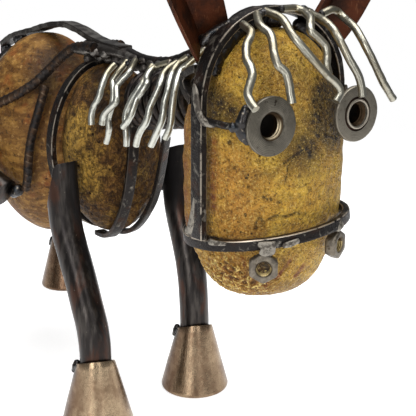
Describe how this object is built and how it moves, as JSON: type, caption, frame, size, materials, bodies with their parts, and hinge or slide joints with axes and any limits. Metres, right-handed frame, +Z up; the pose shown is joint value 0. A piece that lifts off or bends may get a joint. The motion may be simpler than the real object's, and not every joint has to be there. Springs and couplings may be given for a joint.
{
  "type": "donkey sculpture",
  "caption": "Tabletop donkey sculpture of river stones strapped in welded scrap steel, with nut eyes, sheet ears, a spring neck, wire mane and bent-bar legs on flared hoofs.",
  "frame": {"origin": "On the ground plane under the soles of the hoofs, below the centre of the bounding box in X and Y.", "axes": "+Z up, -Y the way the donkey faces, +Y towards the tail, +X the donkey's own left."},
  "size_m": [0.1456, 0.3351, 0.2589],
  "materials": {
    "gold_stone": "river stone, ochre and gold, matt with a faint polish",
    "speckled_stone": "river stone, gold mottled with black, matt",
    "brown_stone": "river stone, orange brown, matt",
    "black_steel": "blackened forged strap with ground bright edges",
    "leg_steel": "dark oiled round bar with brown oxide",
    "hoof_steel": "brushed warm steel with oxide blooms",
    "rebar_steel": "dark ribbed reinforcing bar",
    "spring_steel": "black oiled spring wire",
    "nut_steel": "dull machined steel",
    "zinc_nut": "dull zinc",
    "zinc_wire": "bright galvanised wire",
    "rusted_sheet": "dark red-brown rusted sheet with coppery edges"
  },
  "bodies": {
    "root": {"breast_strap_left": "black_steel", "breast_strap_right": "black_steel", "breeching_left": "rebar_steel", "breeching_right": "rebar_steel", "cheek_hook_left": "black_steel", "cheek_hook_right": "black_steel", "chest_stone": "speckled_stone", "crest_bar": "black_steel", "crown_strap": "black_steel", "ear_left": "rusted_sheet", "ear_right": "rusted_sheet", "eye_nut_left": "nut_steel", "eye_nut_right": "nut_steel", "eye_stalk_left": "black_steel", "eye_stalk_right": "black_steel", "flank_bar_left": "rebar_steel", "flank_bar_right": "rebar_steel", "forelock_wire_1": "zinc_wire", "forelock_wire_2": "zinc_wire", "forelock_wire_3": "zinc_wire", "forelock_wire_4": "zinc_wire", "forelock_wire_5": "zinc_wire", "forelock_wire_6": "zinc_wire", "front_hoof_left": "hoof_steel", "front_hoof_right": "hoof_steel", "front_leg_left": "leg_steel", "front_leg_right": "leg_steel", "girth_hoop": "black_steel", "head_stone": "gold_stone", "hind_hoof_left": "hoof_steel", "hind_hoof_right": "hoof_steel", "hind_leg_left": "leg_steel", "hind_leg_right": "leg_steel", "mane_wire_left_1": "zinc_wire", "mane_wire_left_2": "zinc_wire", "mane_wire_left_3": "zinc_wire", "mane_wire_left_4": "zinc_wire", "mane_wire_left_5": "zinc_wire", "mane_wire_right_1": "zinc_wire", "mane_wire_right_2": "zinc_wire", "mane_wire_right_3": "zinc_wire", "mane_wire_right_4": "zinc_wire", "mane_wire_right_5": "zinc_wire", "mane_wire_right_6": "zinc_wire", "mane_wire_right_7": "zinc_wire", "mane_wire_right_8": "zinc_wire", "neck_coil": "spring_steel", "nose_band": "black_steel", "nostril_nut_left": "zinc_nut", "nostril_nut_right": "zinc_nut", "rump_hoop": "black_steel", "rump_stone": "brown_stone", "spine_bar": "black_steel", "tail_bar": "black_steel", "tail_wire_1": "zinc_wire", "tail_wire_2": "zinc_wire", "tail_wire_3": "zinc_wire"}
  },
  "joints": []
}
